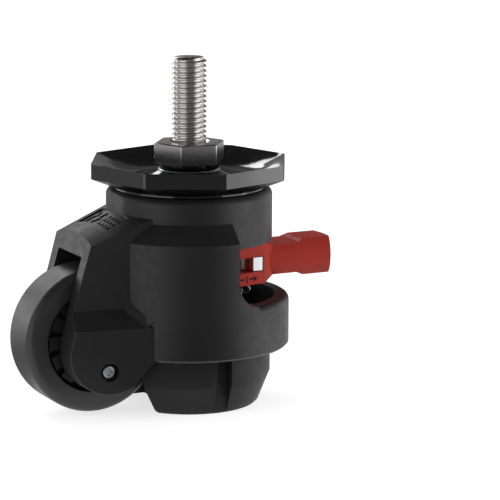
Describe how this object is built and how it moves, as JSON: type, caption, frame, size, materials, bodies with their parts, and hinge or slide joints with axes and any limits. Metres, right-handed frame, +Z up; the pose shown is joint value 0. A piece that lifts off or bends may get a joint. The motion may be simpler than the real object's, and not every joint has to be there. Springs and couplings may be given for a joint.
{
  "type": "levelling castor",
  "caption": "Swivel castor with a plastic wheel in a moulded fork and a levelling foot that a red ratchet lever screws down, under an octagonal plate and a threaded stem",
  "frame": {"origin": "centre of the foot's flat underside, on the swivel axis, with the foot screwed down", "axes": "+Z up along the swivel axis and the stem, the wheel toward -X, the lever at rest toward +X"},
  "size_m": [0.1168, 0.0712, 0.1205],
  "materials": {
    "body_plastic": "fine moulded grain, black nylon",
    "foot_plastic": "moulded black nylon",
    "core_plastic": "moulded black nylon",
    "tread": "smooth black tread",
    "lever_plastic": "moulded dark red nylon",
    "plate_paint": "gloss black coat",
    "stem_steel": "bright turned stainless",
    "plated_steel": "bright zinc",
    "bearing_steel": "turned steel",
    "nut_steel": "dark satin steel with bright edges",
    "spring_steel": "spring wire",
    "ball_steel": "polished balls",
    "bronze": "sintered bronze"
  },
  "bodies": {
    "body": {"housing": "body_plastic", "lower_race": "bearing_steel", "swivel_balls": "ball_steel", "stem_bushing": "bronze", "thrust_washer": "bearing_steel", "axle": "bearing_steel", "axle_plate_left": "plated_steel", "axle_plate_right": "plated_steel", "axle_screws": "plated_steel", "axle_washers": "plated_steel"},
    "top": {"stem": "stem_steel", "king_washer": "plated_steel", "top_plate": "plate_paint", "lock_washer": "plated_steel", "hex_nut": "nut_steel"},
    "wheel": {"tyre": "tread", "wheel_core": "core_plastic", "wheel_bushing_left": "bronze", "wheel_bushing_right": "bronze"},
    "ratchet": {"ratchet_nut": "nut_steel", "hub_circlip": "spring_steel"},
    "foot": {"foot_pad": "foot_plastic", "foot_spindle": "bearing_steel"},
    "lever": {"lever": "lever_plastic", "lever_clip": "spring_steel", "pawl_pin": "bearing_steel", "detent_ball": "ball_steel", "detent_spring": "spring_steel", "detent_plug": "plated_steel"},
    "selector": {"selector_pawl": "plated_steel"}
  },
  "joints": [
    {"name": "swivel", "type": "hinge", "parent": "body", "child": "top", "pos_m": [0, 0, 0.0759], "axis": [0, 0, 1], "continuous": true},
    {"name": "wheel_spin", "type": "hinge", "parent": "body", "child": "wheel", "pos_m": [-0.0392, 0, 0.0264], "axis": [0, 1, 0], "continuous": true},
    {"name": "ratchet_turn", "type": "hinge", "parent": "body", "child": "ratchet", "pos_m": [0, 0, 0.0483], "axis": [0, 0, 1], "range_deg": [-1620, 0]},
    {"name": "foot_travel", "type": "slide", "parent": "body", "child": "foot", "axis": [0, 0, 1], "range_m": [0, 0.009]},
    {"name": "lever_swing", "type": "hinge", "parent": "body", "child": "lever", "pos_m": [0, 0, 0.0483], "axis": [0, 0, 1], "range_deg": [-55, 55]},
    {"name": "selector_flip", "type": "hinge", "parent": "lever", "child": "selector", "pos_m": [0.0152, 0, 0.0483], "axis": [0, 0, 1], "range_deg": [-53.6, 0]}
  ],
  "couplings": [
    {"joint": "ratchet_turn", "follows": "foot_travel", "rad_per_m": -3141.6}
  ]
}
